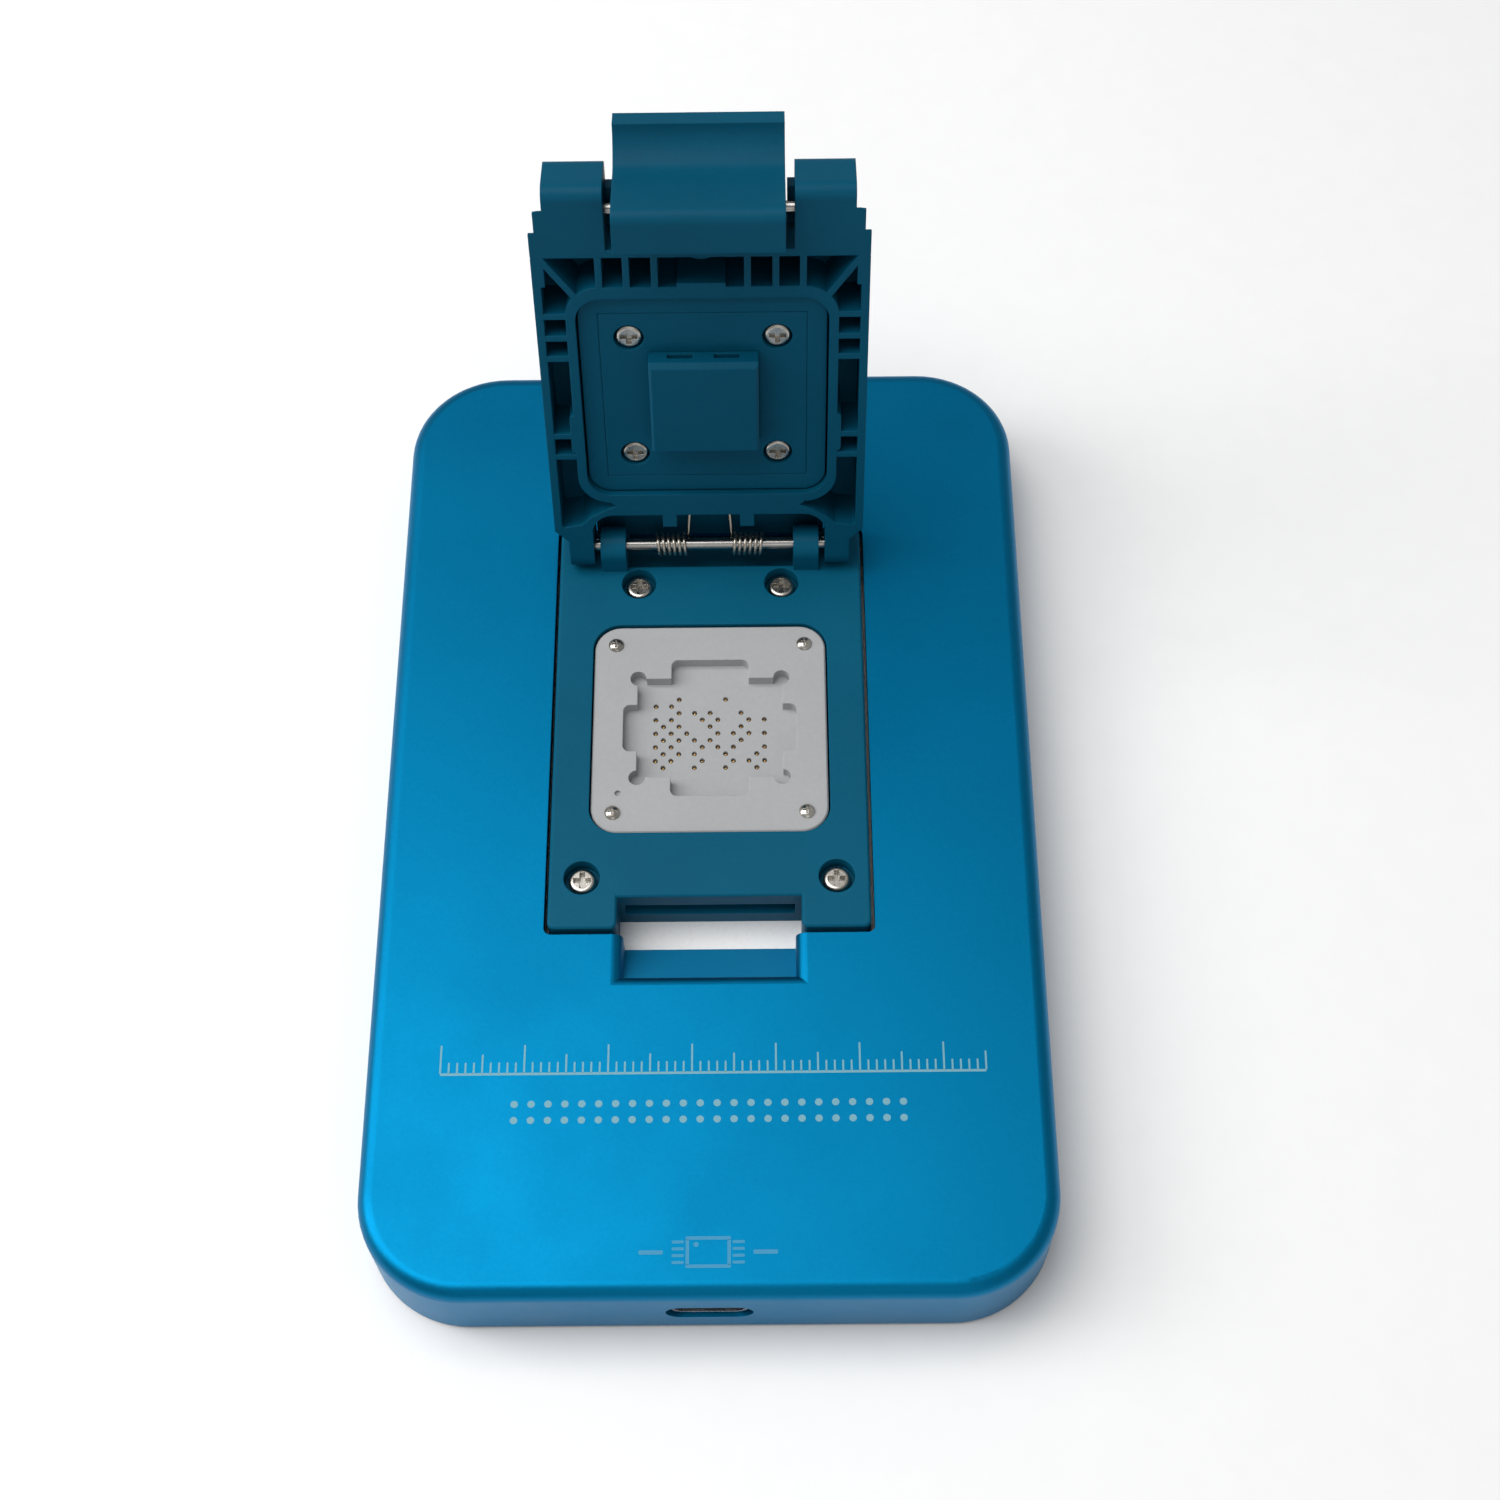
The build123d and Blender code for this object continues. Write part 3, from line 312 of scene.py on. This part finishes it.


# ------------------------------------------------------------------ torsion springs coiled round the hinge and latch pins
HY, HZ = 34.6 * MM, 16.1 * MM
S105, C105 = sin(radians(105)), cos(radians(105))
LX, LY, LZ = Vector((1, 0, 0)), Vector((0, C105, -S105)), Vector((0, S105, C105))
HINGE = Vector((0, HY, HZ))


def lid_point(x, y, z):
    """A point given in the lid's own axes, in millimetres."""
    return HINGE + LX * (x * MM) + LY * (y * MM) + LZ * (z * MM)


for side, name in ((-1, "hinge_spring_left"), (1, "hinge_spring_right")):
    pts = spring_points(Vector((-7.2 * MM, HY, HZ)), Vector((0, 1, 0)), Vector((0, 0, 1)), Vector((1, 0, 0)),
                        1.4 * MM, 0.44 * MM, 4.5 * MM, 5 + 329.0 / 360.0, 5.2 * MM, 6.2 * MM)
    if side > 0:
        pts = [Vector((-p.x, p.y, p.z)) for p in pts]
    bm = bmesh.new()
    tube(bm, pts, 0.22 * MM)
    o = mesh_object(name + "_wound", bm, WIRE)
    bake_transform(o)
    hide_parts(name)

PIV = lid_point(0, -51.0, 1.65)
pts = spring_points(PIV + Vector((-2.4 * MM, 0, 0)), LZ, -LY, Vector((1, 0, 0)), 1.1 * MM, 0.36 * MM, 4.8 * MM, 6.25, 2.5 * MM, 2.7 * MM)
bm = bmesh.new()
tube(bm, pts, 0.18 * MM)
o = mesh_object("latch_spring_wound", bm, WIRE)
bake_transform(o)
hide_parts("latch_spring")

# compression springs, each coiled from the part that slides to its neighbour


def coil_points(origin, ex, ey, ez, radius, wire, height, turns, step=20):
    n = int(turns * step)
    h = height - wire
    return [origin + ex * (radius * cos(2 * pi * turns * i / n)) + ey * (radius * sin(2 * pi * turns * i / n)) + ez * (wire / 2 + h * i / n)
            for i in range(n + 1)]


bm = bmesh.new()
for sx in (-1, 1):
    for sy in (-1, 1):
        tube(bm, coil_points(lid_point(9.0 * sx, -25.95 + 9.0 * sy, 0.71), LX, LY, LZ, 1.25 * MM, 0.36 * MM, 2.56 * MM, 3.5), 0.175 * MM)
o = mesh_object("pressure_springs_wound", bm, WIRE)
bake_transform(o)
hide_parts("pressure_springs")

GZ0, GZ1 = 7.76, 10.59
bm = bmesh.new()
for sx in (-1, 1):
    for sy in (-1, 1):
        tube(bm, coil_points(Vector((12.25 * sx * MM, (8.65 + 12.25 * sy) * MM, GZ0 * MM)), Vector((1, 0, 0)), Vector((0, 1, 0)), Vector((0, 0, 1)),
                             0.9 * MM, 0.24 * MM, (GZ1 - GZ0) * MM, 5), 0.115 * MM)
o = mesh_object("guide_plate_springs_wound", bm, WIRE)
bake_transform(o)
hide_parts("guide_plate_springs")

# ------------------------------------------------------------------ marks on the case
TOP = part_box("top_shell")[1].z


def etched(name, base, dark):
    m = Mat(name)
    m.set(Metallic=0.25)
    n = m.noise(3200, 4, 0.7)
    c = m.ramp(n, [(0.3, dark), (0.7, base)])
    return m.finish(c, m.ramp(n, [(0.3, 0.55), (0.7, 0.7)]), [(n, 0.00002, 0.3)])


ETCH = etched("etched_marks", (0.20, 0.42, 0.50), (0.15, 0.35, 0.43))
ETCH_DIM = etched("etched_marks_faint", (0.05, 0.30, 0.50), (0.04, 0.25, 0.44))


def bar(bm, x0, x1, y0, y1, r=0.12):
    """A flat raised bar with rounded ends, 0.012 mm above the case's top face."""
    r = min(r, (x1 - x0) / 2 - 1e-4, (y1 - y0) / 2 - 1e-4)
    pts = []
    for cx, cy, a0 in ((x1 - r, y1 - r, 0), (x0 + r, y1 - r, 90), (x0 + r, y0 + r, 180), (x1 - r, y0 + r, 270)):
        for k in range(4):
            a = radians(a0 + 30 * k)
            pts.append((cx + r * cos(a), cy + r * sin(a)))
    lo = [bm.verts.new((x * MM, y * MM, TOP - 0.00001)) for x, y in pts]
    hi = [bm.verts.new((x * MM, y * MM, TOP + 0.000012)) for x, y in pts]
    bm.faces.new(hi)
    bm.faces.new(list(reversed(lo)))
    for k in range(len(pts)):
        j = (k + 1) % len(pts)
        bm.faces.new((lo[k], lo[j], hi[j], hi[k]))


bm = bmesh.new()
# a millimetre scale where the first printed line stood
bar(bm, -32.0, 33.0, -38.35, -38.05)
for k in range(66):
    x = -32.0 + k
    h = 3.6 if k % 10 == 0 else 2.4 if k % 5 == 0 else 1.4
    bar(bm, x - 0.11, x + 0.11, -38.1, -38.1 + h)
# a row of grid dots where the second stood
for k in range(24):
    for j in range(2):
        x, y = -23.0 + 2.0 * k, -42.0 - 2.0 * j
        bar(bm, x - 0.45, x + 0.45, y - 0.45, y + 0.45, 0.449)
o = mesh_object("etched_scale", bm, ETCH, False)
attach(o, "housing")

bm = bmesh.new()
# plain chip outline near the front edge
cx, cy, s = 0.0, -60.0, 1.7
bar(bm, cx - 2.6, cx + 2.6, cy + s - 0.25, cy + s + 0.15)
bar(bm, cx - 2.6, cx + 2.6, cy - s - 0.15, cy - s + 0.25)
bar(bm, cx - 2.6, cx - 2.2, cy - s + 0.2, cy + s - 0.2)
bar(bm, cx + 2.2, cx + 2.6, cy - s + 0.2, cy + s - 0.2)
for k in range(4):
    y = cy - 1.2 + 0.8 * k
    bar(bm, cx - 4.2, cx - 2.8, y - 0.17, y + 0.17)
    bar(bm, cx + 2.8, cx + 4.2, y - 0.17, y + 0.17)
bar(bm, cx - 8.0, cx - 5.2, cy - 0.25, cy + 0.25)
bar(bm, cx + 5.2, cx + 8.0, cy - 0.25, cy + 0.25)
bar(bm, cx - 1.7, cx - 1.1, cy + 0.6, cy + 1.2, 0.29)
o = mesh_object("etched_chip_outline", bm, ETCH_DIM, False)
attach(o, "housing")

# ------------------------------------------------------------------ floor, lights, camera
bm = bmesh.new()
R = 3.0
vs = [bm.verts.new((x, y, 0.0)) for x, y in ((-R, -R), (R, -R), (R, R), (-R, R))]
bm.faces.new(vs)
fl = Mat("floor_paper")
fn = fl.noise(220, 3)
floor = mesh_object("floor", bm, fl.finish(fl.ramp(fn, [(0.2, 0.93), (0.8, 0.95)]), fl.ramp(fn, [(0.2, 0.75), (0.8, 0.85)]), [(fn, 0.0001, 0.03)]), False)

w = bpy.data.worlds.new("studio")
bpy.context.scene.world = w
w.use_nodes = True
w.node_tree.nodes["Background"].inputs["Color"].default_value = (1, 1, 1, 1)
w.node_tree.nodes["Background"].inputs["Strength"].default_value = 0.36


def area(name, pos, target, size, power, color=(1, 1, 1), size_y=None):
    li = bpy.data.lights.new(name, "AREA")
    li.energy, li.color = power, color
    li.shape = "RECTANGLE"
    li.size, li.size_y = size, size_y or size
    ob = bpy.data.objects.new(name, li)
    ob.location = pos
    ob.rotation_euler = (Vector(target) - Vector(pos)).to_track_quat("-Z", "Y").to_euler()
    bpy.context.scene.collection.objects.link(ob)
    return ob


area("key_left", (-0.60, 0.05, 0.45), (0, 0, 0.01), 0.35, 2.1)
area("top_soft", (-0.27, 0.04, 0.80), (0, 0.0, 0.01), 0.6, 4.4)
area("front_fill", (0.10, -0.75, 0.45), (0, -0.02, 0.01), 0.5, 0.4)

e, yaw, roll = radians(61.5988), radians(0.7974), radians(-1.2364)
d = Vector((sin(yaw) * cos(e), -cos(yaw) * cos(e), sin(e)))
right = Vector((cos(yaw), sin(yaw), 0))
up = right.cross(-d)
r2 = right * cos(roll) + up * sin(roll)
u2 = -right * sin(roll) + up * cos(roll)
cam = bpy.data.cameras.new("photo_camera")
cam.lens, cam.sensor_width, cam.sensor_height, cam.sensor_fit = 57.5716, 36.0, 36.0, "HORIZONTAL"
cam.clip_start, cam.clip_end = 0.01, 20.0
co = bpy.data.objects.new("photo_camera", cam)
co.matrix_world = Matrix(((r2.x, u2.x, d.x, 0.0071432), (r2.y, u2.y, d.y, -0.1401421), (r2.z, u2.z, d.z, 0.2818649), (0, 0, 0, 1)))
bpy.context.scene.collection.objects.link(co)
bpy.context.scene.camera = co
bpy.context.scene.view_settings.view_transform = "Standard"
